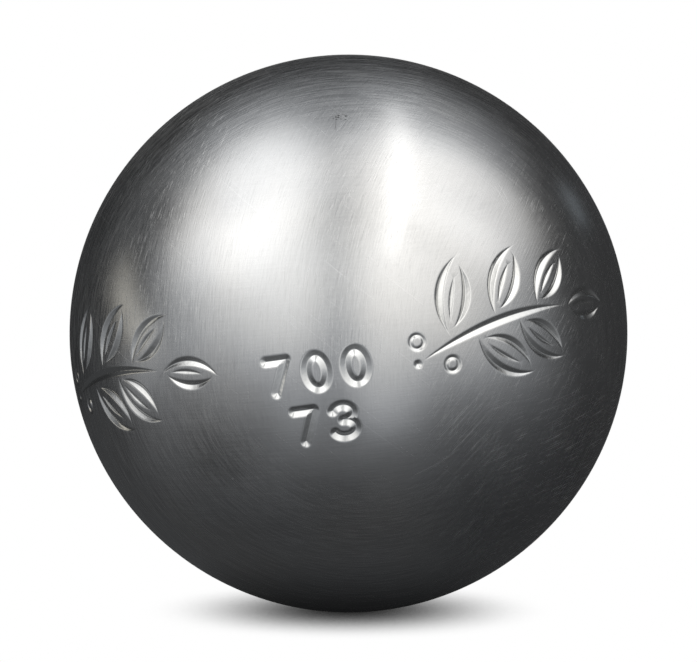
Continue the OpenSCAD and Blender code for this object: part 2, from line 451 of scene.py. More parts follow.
class Engraving:
    """What is cut into one half of the ball: V cuts along circles, and lines of even depth."""

    def __init__(self, e, ball, side):
        self.ball, self.side = ball, side
        self.half = e.cutter / 2
        self.shoulder, self.tip = e.shoulder, e.tip
        self.rings = band_cuts(e, ball, side)
        self.band = band_place(0, e.lean)
        self.depth = e.numeral_depth
        self.lines = numeral_lines(e, ball) if side == FRONT else []

    def band_flat(self, directions):
        """(along, up) on the leaning band, the inverse of on_ball."""
        d = directions @ self.band
        climb = np.arcsin(np.clip(d[:, 2], -1, 1))
        return np.stack([np.arctan2(d[:, 0], -d[:, 1]), climb], -1) * self.ball

    def off_lines(self, flat):
        """Distance on the surface to the nearest straight piece of the numerals' lines."""
        starts = np.concatenate([line[:-1] for line in self.lines])
        run = np.concatenate([line[1:] for line in self.lines]) - starts
        nearest = []
        for some in np.array_split(flat, len(flat) // BATCH + 1):
            off = some[:, None] - starts
            at = np.clip((off * run).sum(-1) / (run * run).sum(-1), 0, 1)
            nearest.append(np.linalg.norm(off - at[..., None] * run, axis=-1).min(1))
        return np.concatenate(nearest)

    def rounded(self, across):
        """Distance from a cut's middle, rounded at the cutter's tip: sqrt(a a + t t) - t."""
        return np.sqrt(across**2 + self.tip**2) - self.tip

    def reach(self, directions):
        """How far the cuts reach under the surface along each direction, negative outside them:
        along the V's opening, less the distance from its middle over tan(half the V's angle)."""
        slope = 1 / math.tan(self.half)
        deepest = np.full(len(directions), -1.0)
        for ring in self.rings:
            whole = ring.last - ring.first > NEARLY_ROUND
            middle = unit(ring.centre + ring.radius * ring.x * (not whole))
            spread = ring.radius * (2 if whole else ring.last) + BESIDE_CUT
            near = np.flatnonzero(directions @ middle > math.cos(spread / self.ball))
            if not len(near):
                continue
            depth = np.zeros(len(near))
            for _ in range(2):
                v = (self.ball - np.maximum(depth, 0))[:, None] * directions[near] - ring.centre
                out = np.hypot(v @ ring.x, v @ ring.y) - ring.radius
                high = v @ ring.z
                along = out * ring.up[0] + high * ring.up[1]
                across = self.rounded(high * ring.up[0] - out * ring.up[1])
                depth = np.maximum(depth, 0) + along - across * slope
            turn = np.arctan2(v @ ring.y, v @ ring.x)
            margin = PAST_END / max(ring.radius, MM)
            depth[(turn < ring.first - margin) | (turn > ring.last + margin)] = -1
            deepest[near] = np.maximum(deepest[near], depth)
        if self.lines:
            flat = self.band_flat(directions)
            corners = np.concatenate(self.lines)
            low, high = corners.min(0) - BESIDE_NUMERALS, corners.max(0) + BESIDE_NUMERALS
            near = np.flatnonzero(np.all((flat > low) & (flat < high), axis=1))
            depth = self.depth - self.rounded(self.off_lines(flat[near])) * slope
            deepest[near] = np.maximum(deepest[near], depth)
        return deepest

    def cut(self, directions):
        """Depth of the surface under the ball: the reach r with a rounded shoulder k, which is
        0 below -k, (r + k)(r + k)/4k between, and r above k."""
        r, k = self.reach(directions), self.shoulder
        return np.where(r > k, r, np.clip(r + k, 0, None) ** 2 / (4 * k))

    def points(self):
        """Directions of the points that the mesh needs along every cut: the middle and both sides
        of its rounded tip, both sides of each rounded shoulder, and a line just outside it that
        keeps the ball's own normal."""
        edge = EDGE_SHARE * self.shoulder * math.tan(self.half)
        beside = (-edge, edge, edge + GUARD)
        found = []
        for ring in self.rings:
            turn_length = ring.radius * (ring.last - ring.first)
            count = max(int(turn_length / RING_STEP), LEAST_ON_RING) + 1
            turn = np.linspace(ring.first, ring.last, count)[:, None]
            out = np.cos(turn) * ring.x + np.sin(turn) * ring.y
            tip = ring.centre + ring.radius * out
            opening = ring.up[0] * out + ring.up[1] * ring.z
            across = ring.up[0] * ring.z - ring.up[1] * out
            found.append(tip)
            for side in (-1, 1):
                wall = math.cos(self.half) * opening + side * math.sin(self.half) * across
                dip = (tip * wall).sum(-1)
                to_edge = np.sqrt(dip**2 + self.ball**2 - (tip * tip).sum(-1)) - dip
                for off in beside:
                    found.append(tip + to_edge[:, None] * wall + side * off * across)
                found.append(tip + side * 2 * self.tip * across)
        found = [unit(p) for p in found]
        if self.lines:
            half_width = self.depth * math.tan(self.half)
            offsets = (2 * self.tip, half_width / 2, *(half_width + off for off in beside))
            for line in self.lines:
                ends = line[[0, -1]]
                way = unit(np.gradient(line, axis=0))
                square = np.stack([-way[:, 1], way[:, 0]], -1)
                found.append(self.to_direction(line))
                for off in offsets:
                    count = max(int(off / END_STEP), LEAST_ON_END)
                    circle = arc([0, 0], [off, off], 0, 360, count)
                    sides = [line + off * square, line - off * square]
                    flat = np.concatenate(sides + [end + circle for end in ends])
                    kept = flat[self.off_lines(flat) > off - SAME_PLACE / 2]
                    found.append(self.to_direction(kept))
        return np.concatenate(found)

    def to_direction(self, flat):
        """The direction of a place on the leaning band."""
        return on_ball(flat, 1, self.ball) @ self.band.T


def flattened(directions, side, ball):
    """The half ball laid flat: distance from its pole along the surface, at the same bearing."""
    polar = np.arccos(np.clip(side * directions[:, 1], -1, 1))
    bearing = np.arctan2(directions[:, 2], -side * directions[:, 0])
    return ball * polar[:, None] * np.stack([np.cos(bearing), np.sin(bearing)], -1)


def raised(flat, side, ball):
    """The inverse of flattened."""
    polar = np.linalg.norm(flat, axis=1) / ball
    bearing = np.arctan2(flat[:, 1], flat[:, 0])
    out = np.sin(polar)
    return np.stack(
        [-side * out * np.cos(bearing), side * np.cos(polar), out * np.sin(bearing)], -1
    )


def thinned(points, gap):
    """One point of each square of that size."""
    first = np.unique(np.round(points / gap).astype(int), axis=0, return_index=True)[1]
    return points[np.sort(first)]


def lattice(reach, gap, crowd, clear):
    """A lattice of triangles inside a circle of that reach, without what lies near the crowd."""
    row = gap * math.sqrt(3) / 2
    count = int(reach / row) + 2
    i, j = np.meshgrid(np.arange(-count, count + 1), np.arange(-count, count + 1))
    points = np.stack([(i + j % 2 / 2) * gap, j * row], -1).reshape(-1, 2)
    points = points[np.linalg.norm(points, axis=1) < reach - gap / 2]
    spare = 6
    cells = int(reach / clear) + spare
    taken = np.zeros((2 * cells, 2 * cells), bool)
    at = np.floor(crowd / clear).astype(int) + cells
    for dx in (-1, 0, 1):
        for dy in (-1, 0, 1):
            taken[at[:, 0] + dx, at[:, 1] + dy] = True
    own = np.floor(points / clear).astype(int) + cells
    return points[~taken[own[:, 0], own[:, 1]]]


def weld_edge(sizes):
    """Where a wall of the weld's groove meets the ball: its radius r and height h solve
    h = root/2 + (r - root radius) tan(groove/2) and r r + h h = ball ball."""
    tan = math.tan(sizes.groove / 2)
    root_radius = sizes.radius - sizes.wall + sizes.lip + sizes.lip_gap + sizes.land
    offset = sizes.root / 2 - root_radius * tan
    a, b, c = 1 + tan**2, 2 * tan * offset, offset**2 - sizes.radius**2
    r = (-b + math.sqrt(b * b - 4 * a * c)) / (2 * a)
    return r, offset + r * tan, root_radius


def cavity_profile(cavity, height, steps=24):
    """Points (radius, height) on the cavity's wall, from a height to the pole."""
    climb = np.linspace(math.asin(height / cavity), math.pi / 2, steps + 1)
    return [(cavity * math.cos(a), cavity * math.sin(a)) for a in climb[:-1]]


def inner_profile(sizes, side):
    """The half's hidden sides, from the weld's groove to the pole of the cavity, as points of
    (radius, height over the seam towards the half's own pole). The front has the lip, and the
    rear its seat."""
    root_radius = weld_edge(sizes)[2]
    cavity = sizes.radius - sizes.wall
    lip = cavity + sizes.lip
    profile = [(root_radius, sizes.root / 2), (root_radius, 0)]
    if side == FRONT:
        end = -sizes.lip_length
        profile += [(lip, 0), (lip, end + sizes.lip_bevel), (lip - sizes.lip_bevel, end)]
    else:
        end = sizes.lip_length + sizes.lip_end_gap
        profile += [(lip + sizes.lip_gap, 0), (lip + sizes.lip_gap, end)]
    return np.array(profile + cavity_profile(cavity, end)), cavity


def surface_normals(engraving, directions):
    """The surface's normal: the direction plus the slope of the cut, from differences."""
    unused_direction = [0.3, 0.2, 0.93]
    first = unit(np.cross(directions, unused_direction))
    second = np.cross(directions, first)
    normal = directions.copy()
    for tangent in (first, second):
        aside = tangent * SLOPE_STEP / engraving.ball
        ahead, behind = engraving.cut(unit(directions + aside)), engraving.cut(unit(directions - aside))
        normal += ((ahead - behind) / (2 * SLOPE_STEP))[:, None] * tangent
    return unit(normal)


def make_piece(name, points, faces, normals, groove, material):
    """A mesh object from whole arrays: points, triangles, a normal for each corner of each
    triangle, and how deep in the engraving each point lies, from 0 to 1."""
    mesh = bpy.data.meshes.new(name)
    mesh.vertices.add(len(points))
    mesh.vertices.foreach_set("co", points.astype(np.float32).ravel())
    mesh.loops.add(3 * len(faces))
    mesh.loops.foreach_set("vertex_index", faces.astype(np.int32).ravel())
    mesh.polygons.add(len(faces))
    mesh.polygons.foreach_set("loop_start", np.arange(0, 3 * len(faces), 3, dtype=np.int32))
    mesh.polygons.foreach_set("use_smooth", np.ones(len(faces), bool))
    mesh.update(calc_edges=True)
    depths = mesh.attributes.new("groove", "FLOAT", "POINT")
    depths.data.foreach_set("value", groove.astype(np.float32))
    if mesh.validate(verbose=True):
        raise RuntimeError(f"{name}: the mesh needed repair")
    mesh.normals_split_custom_set(normals.reshape(-1, 3).tolist())
    mesh.materials.append(material)
    piece = bpy.data.objects.new(name, mesh)
    bpy.context.scene.collection.objects.link(piece)
    return piece


def ring_faces(rings):
    """Triangles between each ring of points and the next, seen from outside the steel."""
    count = rings.shape[1]
    after = np.roll(np.arange(count), -1)
    near, far = rings[:-1], rings[1:]
    return np.stack(
        [
            np.stack([near[:, after], near, far], -1),
            np.stack([near[:, after], far, far[:, after]], -1),
        ],
        1,
    )


def half_shell(sizes, e, side, name, material):
    """One half of the ball, closed all round. Outside, the radius in each direction is the
    ball's less the cut's depth there, on points laid flat and joined in the best triangles. The
    hidden sides are the profile turned about the Y axis."""
    ball = sizes.radius
    engraving = Engraving(e, ball, side)
    rim_radius, rim_height, _ = weld_edge(sizes)
    reach = ball * math.acos(rim_height / ball)
    bearing = np.arange(RIM_COUNT) * 2 * math.pi / RIM_COUNT
    rim = reach * np.stack([np.cos(bearing), np.sin(bearing)], -1)
    crowd = thinned(flattened(engraving.points(), side, ball), LEAST_STEP)
    open_ball = lattice(reach, OPEN_STEP, thinned(crowd, CROWD_STEP), CLEARANCE)
    flat = np.concatenate([rim, crowd, open_ball]) / MM
    found = delaunay_2d_cdt(flat.tolist(), [], [], 0, SAME_PLACE / MM)
    flat, faces = np.array([tuple(p) for p in found[0]]) * MM, np.array(found[2])
    directions = raised(flat, side, ball)
    depth = engraving.cut(directions)
    points = directions * (ball - depth)[:, None]
    outer = surface_normals(engraving, directions)[faces]

    profile, cavity = inner_profile(sizes, side)
    rim_at = np.flatnonzero(np.linalg.norm(flat, axis=1) > reach - 2 * SAME_PLACE)
    bearing = np.arctan2(flat[rim_at, 1], flat[rim_at, 0])
    rim_at, bearing = rim_at[np.argsort(bearing)], np.sort(bearing)
    around = np.stack([-side * np.cos(bearing), 0 * bearing, np.sin(bearing)], -1)
    pole = np.array([0, side, 0])
    turned = profile[:, 0, None, None] * around + profile[:, 1, None, None] * pole
    rings = len(points) + np.arange(turned.shape[0] * turned.shape[1]).reshape(turned.shape[:2])
    rings = np.concatenate([rim_at[None], rings])
    hidden = ring_faces(rings)
    full = np.concatenate([[(rim_radius, rim_height)], profile])
    run = unit(np.diff(full, axis=0))
    wall = -run[:, 1, None, None] * around + run[:, 0, None, None] * pole
    ahead = np.roll(wall, -1, 1)
    walls = np.stack([np.stack([ahead, wall, wall], -2), np.stack([ahead, wall, ahead], -2)], 1)
    last = len(points) + turned.shape[0] * turned.shape[1]
    cap = np.stack([np.roll(rings[-1], -1), rings[-1], np.full(len(rim_at), last)], -1)
    caps = np.broadcast_to(-pole, (len(cap), 3, 3))

    points = np.concatenate([points, turned.reshape(-1, 3), [cavity * pole]])
    faces = np.concatenate([faces, hidden.reshape(-1, 3), cap])
    normals = np.concatenate([outer, walls.reshape(-1, 3, 3), caps])
    groove = np.zeros(len(points))
    groove[: len(depth)] = np.clip(depth / CUT_STEEL_DEPTH, 0, 1)
    return make_piece(name, points, faces, normals, groove, material)


def weld_ring(sizes, name, material):
    """The weld: its root, two slanting walls and the ground face, turned about the Y axis."""
    _, rim_height, root_radius = weld_edge(sizes)
    ground_rows = 15
    climb = np.linspace(1, -1, ground_rows) * math.asin(rim_height / sizes.radius)
    ground = sizes.radius * np.stack([np.cos(climb), np.sin(climb)], -1)
    half = sizes.root / 2
    profile = np.concatenate([ground, [(root_radius, -half), (root_radius, half)], ground[:1]])
    bearing = np.arange(RIM_COUNT) * 2 * math.pi / RIM_COUNT
    around = np.stack([np.cos(bearing), 0 * bearing, np.sin(bearing)], -1)
    pole = np.array([0, 1, 0])
    points = profile[:-1, 0, None, None] * around + profile[:-1, 1, None, None] * pole
    rings = np.arange(points.shape[0] * points.shape[1]).reshape(points.shape[:2])
    rings = np.concatenate([rings, rings[:1]])
    faces = ring_faces(rings)[..., ::-1]
    run = unit(np.diff(profile, axis=0))
    first = -run[:, 1, None, None] * around + run[:, 0, None, None] * pole
    second = first.copy()
    for i, (above, below) in enumerate(zip(ground[:-1], ground[1:])):
        first[i] = unit(above[0] * around + above[1] * pole)
        second[i] = unit(below[0] * around + below[1] * pole)
    ahead, ahead_second = np.roll(first, -1, 1), np.roll(second, -1, 1)
    normals = np.stack(
        [np.stack([second, first, ahead], -2), np.stack([ahead_second, second, ahead], -2)], 1
    )
    points, normals = points.reshape(-1, 3), normals.reshape(-1, 3, 3)
    return make_piece(name, points, faces.reshape(-1, 3), normals, np.zeros(len(points)), material)


# Materials


class Nodes:
    """Short ways to add and join the nodes of one tree."""

    def __init__(self, tree):
        self.tree = tree

    def add(self, kind, inputs=(), **settings):
        """A node of that kind. Inputs are pairs of a socket and a value or another's output."""
        node = self.tree.nodes.new(kind)
        for name, value in settings.items():
            setattr(node, name, value)
        for socket, value in dict(inputs).items():
            if isinstance(value, bpy.types.NodeSocket):
                self.tree.links.new(value, node.inputs[socket])
            else:
                node.inputs[socket].default_value = value
        return node

    def math(self, operation, *values):
        """A Math node's value."""
        return self.add("ShaderNodeMath", dict(enumerate(values)), operation=operation).outputs[0]

    def total(self, *values):
        """The sum of all values."""
        return reduce(lambda first, second: self.math("ADD", first, second), values)

    def times(self, *values):
        """The product of all values."""
        return reduce(lambda first, second: self.math("MULTIPLY", first, second), values)

    def less(self, value):
        """What a value leaves of 1."""
        return self.math("SUBTRACT", 1.0, value)

    def vector(self, operation, *values):
        """A Vector Math node's output, the number where it has one."""
        node = self.add("ShaderNodeVectorMath", dict(enumerate(values)), operation=operation)
        return node.outputs["Value" if operation in ("DOT_PRODUCT", "LENGTH") else "Vector"]

    def ramp(self, value, low, high, first=0.0, last=1.0):
        """A smooth step from first to last, as the value goes from low to high."""
        return self.add(
            "ShaderNodeMapRange",
            {"Value": value, "From Min": low, "From Max": high, "To Min": first, "To Max": last},
            interpolation_type="SMOOTHSTEP",
        ).outputs["Result"]

    def zones(self, axes, table, length=1.0):
        """A mask for each zone of a table of (axis, start, end), by its name: a smooth step from 0
        where the zone starts to 1 where it is full."""
        return SimpleNamespace(**{
            name: self.ramp(axes[axis], start * length, full * length)
            for name, (axis, start, full) in table.items()
        })

    def group(self, tree, inputs):
        """The first output of a group's node with these inputs."""
        return self.add("ShaderNodeGroup", inputs, node_tree=tree).outputs[0]

    def blend(self, factor, first, second, mode="MIX"):
        """Two colours blended."""
        node = self.add("ShaderNodeMix", {}, data_type="RGBA", blend_type=mode)
        for socket, value in ((0, factor), (6, first), (7, second)):
            if isinstance(value, bpy.types.NodeSocket):
                self.tree.links.new(value, node.inputs[socket])
            else:
                node.inputs[socket].default_value = value
        return node.outputs[2]

    def output(self, name, value):
        """Joins a value to the group's output of that name."""
        ends = [n for n in self.tree.nodes if n.bl_idname == "NodeGroupOutput"]
        end = ends[0] if ends else self.add("NodeGroupOutput")
        self.tree.links.new(value, end.inputs[name])


def new_group(name, inputs, outputs):
    """An empty shader node group, with its inputs' kinds and defaults, and its inputs' sockets."""
    tree = bpy.data.node_groups.new(name, "ShaderNodeTree")
    for socket, kind, default in inputs:
        made = tree.interface.new_socket(name=socket, in_out="INPUT", socket_type=kind)
        if default is not None:
            made.default_value = default
    for socket, kind in outputs:
        tree.interface.new_socket(name=socket, in_out="OUTPUT", socket_type=kind)
    nodes = Nodes(tree)
    return nodes, nodes.add("NodeGroupInput").outputs


def new_material(name):
    """A material with an empty tree, and its nodes."""
    material = bpy.data.materials.new(name)
    material.use_nodes = True
    material.node_tree.nodes.clear()
    return material, Nodes(material.node_tree)


FLOAT, VECTOR, COLOUR = "NodeSocketFloat", "NodeSocketVector", "NodeSocketColor"


def grinding_group():
    """Marks that a grinding belt leaves as the ball turns on an axis under it. The place is first
    turned so that the axis is Z. The marks are a noise over (radius/length times the bearing's
    cosine, the same times its sine, arc from the pole / width), so they run round the axis, and
    they fade at its poles."""
    name = "Grinding marks"
    if name in bpy.data.node_groups:
        return bpy.data.node_groups[name]
    nodes, given = new_group(
        name,
        [("Place", VECTOR, None), ("Turn", VECTOR, None), ("Width", FLOAT, 0.2 * MM),
         ("Length", FLOAT, 3 * MM), ("Low", FLOAT, 0.3), ("High", FLOAT, 0.7)],
        [("Marks", FLOAT)],
    )
    turned = nodes.add(
        "ShaderNodeVectorRotate", {"Vector": given["Place"], "Rotation": given["Turn"]},
        rotation_type="EULER_XYZ",
    ).outputs[0]
    at = nodes.add("ShaderNodeSeparateXYZ", {0: nodes.vector("NORMALIZE", turned)}).outputs
    level = nodes.add("ShaderNodeCombineXYZ", {0: at[0], 1: at[1]}).outputs[0]
    along = nodes.math("DIVIDE", BALL_RADIUS, given["Length"])
    ring = nodes.add(
        "ShaderNodeVectorMath", {0: nodes.vector("NORMALIZE", level), "Scale": along},
        operation="SCALE",
    ).outputs[0]
    arc_length = nodes.math("MULTIPLY", nodes.math("ARCCOSINE", at[2]), BALL_RADIUS)
    across = nodes.math("DIVIDE", arc_length, given["Width"])
    across = nodes.add("ShaderNodeCombineXYZ", {2: across}).outputs[0]
    noise = nodes.add(
        "ShaderNodeTexNoise",
        {"Vector": nodes.vector("ADD", ring, across), "Scale": 1.0, "Detail": 2.0, "Roughness": 0.55},
    ).outputs["Fac"]
    fade_start, fade_end = 0.8, 0.96
    fade = nodes.ramp(nodes.math("ABSOLUTE", at[2]), fade_start, fade_end, 1.0, 0.0)
    nodes.output("Marks", nodes.times(nodes.ramp(noise, given["Low"], given["High"]), fade))
    return nodes.tree


def specks_group():
    """Small pits or bright specks: the distance to a scattered point, under a radius."""
    name = "Specks"
    if name in bpy.data.node_groups:
        return bpy.data.node_groups[name]
    nodes, given = new_group(
        name,
        [("Place", VECTOR, None), ("Gap", FLOAT, 5 * MM), ("Radius", FLOAT, 0.1 * MM)],
        [("Specks", FLOAT)],
    )
    scale = nodes.math("DIVIDE", 1.0, given["Gap"])
    distance = nodes.add(
        "ShaderNodeTexVoronoi", {"Vector": given["Place"], "Scale": scale}
    ).outputs["Distance"]
    size = nodes.times(given["Radius"], scale)
    full_share = 0.4
    nodes.output("Specks", nodes.ramp(distance, nodes.times(size, full_share), size, 1.0, 0.0))
    return nodes.tree


def scratch_group():
    """One thin scratch along a circle on the ball: |direction . Axis - Offset| under a width. It
    fades out as direction . Middle falls to the cosine of its reach."""
    name = "Thin scratch"
    if name in bpy.data.node_groups:
        return bpy.data.node_groups[name]
    nodes, given = new_group(
        name,
        [("Place", VECTOR, None), ("Axis", VECTOR, None), ("Offset", FLOAT, 0.0),
         ("Middle", VECTOR, None), ("Cosine", FLOAT, 0.99), ("Width", FLOAT, 0.05 * MM)],
        [("Scratch", FLOAT)],
    )
    towards = nodes.vector("NORMALIZE", given["Place"])
    off = nodes.math("SUBTRACT", nodes.vector("DOT_PRODUCT", towards, given["Axis"]), given["Offset"])
    off = nodes.times(nodes.math("ABSOLUTE", off), BALL_RADIUS)
    line = nodes.ramp(off, given["Width"], 0.0)
    near = nodes.vector("DOT_PRODUCT", towards, given["Middle"])
    half_way = nodes.times(nodes.total(given["Cosine"], 1.0), 0.5)
    nodes.output("Scratch", nodes.times(line, nodes.ramp(near, given["Cosine"], half_way)))
    return nodes.tree


# Thin scratches by three places on each, as (turn, climb) in degrees from the front
SCRATCHES = (
    ((-64.0, 6.5), (-56.2, 1.5), (-49.0, -2.4)),
    ((39.0, 35.1), (39.5, 32.8), (39.9, 30.1)),
    ((37.6, 34.9), (38.2, 32.6), (38.9, 29.9)),
    ((14.0, -24.0), (19.0, -21.5), (24.0, -18.0)),
    ((118.0, 22.0), (126.0, 25.0), (134.0, 26.0)),
    ((171.0, -16.0), (178.0, -21.0), (186.0, -24.0)),
    ((232.0, 31.0), (236.0, 22.0), (238.0, 13.0)),
    ((262.0, -12.0), (268.0, -9.0), (275.0, -8.0)),
)
# A short crack, by three places on it, and where a small cluster of pores lies over it
CRACK = ((-4.0, 52.2), (-4.0, 50.8), (-4.1, 49.2))
PORES = (-2.6, 53.2)
PORES_REACH = 1.2 * MM

# A family of grinding marks: the turn in degrees that brings its axis upright, the width and length
# of a mark in mm, and the noise's values between which a mark grows from nothing to full
Marks = namedtuple("Marks", "turn width length low high", defaults=(0.3, 0.7))


def leaning(tilt):
    """The turn for marks that lean to the right of upright by tilt, seen from the front."""
    return 0, -90 - tilt, 0


def about(turn):
    """The turn for marks that run round a level axis, turned to the front from the right."""
    return 90, 90 - turn, 0


MARKS = {
    "turned": Marks(about(86), 0.18, 5.0),
    "turned_deep": Marks(about(86), 0.30, 7.0, 0.54, 0.66),
    "upright": Marks(about(29), 0.16, 3.2),
    "slanting": Marks(leaning(27), 0.16, 4.2),
    "level": Marks(leaning(84), 0.17, 4.5),
    "flecks_left": Marks(about(33), 0.20, 2.2, 0.60, 0.68),
    "flecks_right": Marks(leaning(27), 0.18, 3.0, 0.60, 0.68),
    "dark_flecks": Marks(about(33), 0.20, 2.4, 0.41, 0.35),
    "long_scratches": Marks(leaning(-52), 0.14, 16, 0.66, 0.71),
    "low_scratches": Marks(leaning(43), 0.11, 15.0, 0.60, 0.67),
    "low_dashes": Marks(leaning(70), 0.15, 5.0, 0.60, 0.68),
}
# Zones of the ball: the axis on which each is read, x 0, the distance from the seam's plane 1 or
# z 2, and the places in mm where it starts and where it is full
ZONES = {
    "to_rim": (1, 25, 14),
    "above": (2, 14, 28),
    "below": (2, 2, -12),
    "left": (0, -11, -18),
    "right": (0, 7, 16),
    "far_right": (0, 14, 22),
}
# What each kind of mark adds where it is full: to the tone, to the roughness, and to the height
# in mm
Effect = namedtuple("Effect", "tone gloss height")
EFFECTS = {
    "grain": Effect(0.085, 0.045, 0.0019),
    "flecks": Effect(0.08, 0.19, 0.002),
    "low": Effect(0.16, 0.10, 0),
    "dark_flecks": Effect(-0.05, -0.04, -0.0015),
    "scratches": Effect(0.25, 0.12, 0),
    "bright": Effect(0.8, 0, 0),
    "pits": Effect(-0.35, 0, -0.007),
    "pores": Effect(-0.75, 0, -0.01),
    "crack": Effect(-0.4, 0, 0),
    "patches": Effect(0, 0.02, 0),
}
PLAIN_TONE, CLOUDY_TONE = 0.92, 0.05
# Height of the cutter's chatter in the engraving
CHATTER = 0.01 * MM


def ground_steel_group():
    """The satin ground surface. Rings round the Y axis run near the outline and all over the lower
    part. Inside them, upright grain covers the middle and the left, slanting grain the right, and
    level grain crosses both. Low at the right lie thin scratches and, further out, short dashes.
    Bright and dark flecks, long scratches, pits, bright specks, a crack and a small cluster of
    pores are scattered over it.
    Tone multiplies the steel's colour, Tint tints it, Gloss adds to its roughness, and Height is
    in metres. All marks fade out in the engraving, which has fine chatter instead."""
    name = "Ground steel"
    if name in bpy.data.node_groups:
        return bpy.data.node_groups[name]
    nodes, given = new_group(
        name,
        [("Groove", FLOAT, 0.0), ("Grain", FLOAT, 1.0), ("Scratches", FLOAT, 1.0)],
        [("Tone", FLOAT), ("Tint", COLOUR), ("Gloss", FLOAT), ("Height", FLOAT)],
    )
    total, times, less = nodes.total, nodes.times, nodes.less
    place = nodes.add("ShaderNodeTexCoord").outputs["Object"]
    at = nodes.add("ShaderNodeSeparateXYZ", {0: place}).outputs

    def marks(family):
        """The marks of one family."""
        return nodes.group(grinding_group(), {
            "Place": place, "Turn": tuple(np.radians(family.turn)), "Width": family.width * MM,
            "Length": family.length * MM, "Low": family.low, "High": family.high,
        })

    def cloud(size, low, high):
        """Soft patches of about that size, in mm."""
        noise = nodes.add(
            "ShaderNodeTexNoise", {"Vector": place, "Scale": 1 / (size * MM), "Detail": 2.0}
        ).outputs["Fac"]
        return nodes.ramp(noise, low, high)

    def specks(gap, radius):
        """Scattered specks of that radius, about that gap apart, in mm."""
        sizes = {"Gap": gap * MM, "Radius": radius * MM}
        return nodes.group(specks_group(), {"Place": place} | sizes)

    def scratch(places):
        """One thin scratch through three places."""
        return nodes.group(scratch_group(), {"Place": place} | scratch_values(places))

    mark = SimpleNamespace(**{name: marks(family) for name, family in MARKS.items()})
    zone = nodes.zones((at[0], nodes.math("ABSOLUTE", at[1]), at[2]), ZONES, MM)
    rings = times(zone.to_rim, less(times(zone.right, 0.5)))
    inside = less(rings)
    low_rings = less(total(times(zone.right, 0.5), times(zone.far_right, 0.2)))
    patches = cloud(9, 0.35, 0.65)

    # Each number in these sums and products is the share of a mark that a zone adds or takes away
    grain = total(
        times(mark.turned, total(
            0.1, times(rings, 2.6), times(zone.above, 0.4), times(zone.below, inside, low_rings, 2.1),
        )),
        times(mark.turned_deep, total(0.05, times(rings, 0.6))),
        times(
            mark.upright, less(zone.right), less(times(rings, 0.6)),
            total(0.3, times(less(zone.below), total(0.5, times(zone.left, 0.6)))),
        ),
        times(
            mark.slanting, zone.right, less(times(zone.to_rim, 0.6)), less(times(zone.above, 0.45)),
            less(times(zone.below, total(0.4, times(zone.far_right, 0.35)))),
            total(0.9, times(patches, 0.4)),
        ),
        times(mark.level, inside, total(0.45, times(zone.below, 0.3))),
    )
    flecks = times(less(times(zone.below, less(times(zone.right, 0.7)))), total(
        times(
            mark.flecks_left, less(zone.right), less(times(rings, 0.6)),
            total(0.35, times(zone.left, total(0.45, zone.above))),
        ),
        times(
            mark.flecks_right, zone.right, total(0.5, times(patches, 0.6)),
            less(times(zone.to_rim, 0.6)), less(times(zone.above, 0.85)),
        ),
    ))
    low = times(zone.below, total(
        times(mark.low_scratches, zone.right, less(times(zone.far_right, 0.8)), 2.1),
        times(mark.low_dashes, zone.far_right, 1.8),
    ))
    dark_flecks = times(mark.dark_flecks, less(zone.below), less(times(zone.right, zone.above)))
    thin = total(*[scratch(places) for places in SCRATCHES])
    to_pores = nodes.vector("SUBTRACT", place, tuple(on_ball(np.radians(PORES), BALL_RADIUS, 1)))
    flattening = (1, 1, 2.5)
    to_pores = nodes.vector("LENGTH", nodes.vector("MULTIPLY", to_pores, flattening))
    found = {
        "grain": times(grain, given["Grain"]),
        "flecks": times(flecks, given["Scratches"]),
        "low": times(low, given["Scratches"]),
        "dark_flecks": times(dark_flecks, given["Scratches"]),
        "scratches": times(total(times(mark.long_scratches, 0.35), thin), given["Scratches"]),
        "bright": specks(9, 0.17),
        "pits": specks(6.5, 0.13),
        "pores": times(specks(0.36, 0.22), nodes.ramp(to_pores, PORES_REACH, 0.7 * PORES_REACH)),
        "crack": scratch(CRACK),
        "patches": patches,
    }

    def added(kind, scale=1.0):
        """The sum of one kind of effect over all marks, faded out in the engraving."""
        shares = {name: getattr(effect, kind) * scale for name, effect in EFFECTS.items()}
        seen = [times(found[name], share) for name, share in shares.items() if share]
        return times(total(*seen), less(given["Groove"]))

    cloudy = times(cloud(22, 0.3, 0.7), CLOUDY_TONE)
    nodes.output("Tone", total(PLAIN_TONE, added("tone"), cloudy))
    cool, warm = (0.98, 0.99, 1.0, 1.0), (1.0, 0.993, 0.98, 1.0)
    nodes.output("Tint", nodes.blend(cloud(26, 0.35, 0.65), cool, warm))
    nodes.output("Gloss", added("gloss"))
    chatter = times(cloud(0.7, 0.2, 0.8), given["Groove"], CHATTER)
    nodes.output("Height", total(added("height", MM), chatter))
    return nodes.tree


def scratch_values(places):
    """A scratch's axis, offset, middle and the cosine of its reach, from three places on it. The
    axis is square to the plane through all three."""
    first, middle, last = on_ball(np.radians(places), 1, 1)
    axis = unit(np.cross(middle - first, last - middle))
    return {
        "Axis": tuple(axis), "Offset": float(axis @ middle), "Middle": tuple(middle),
        "Cosine": float(min(middle @ first, middle @ last)),
    }


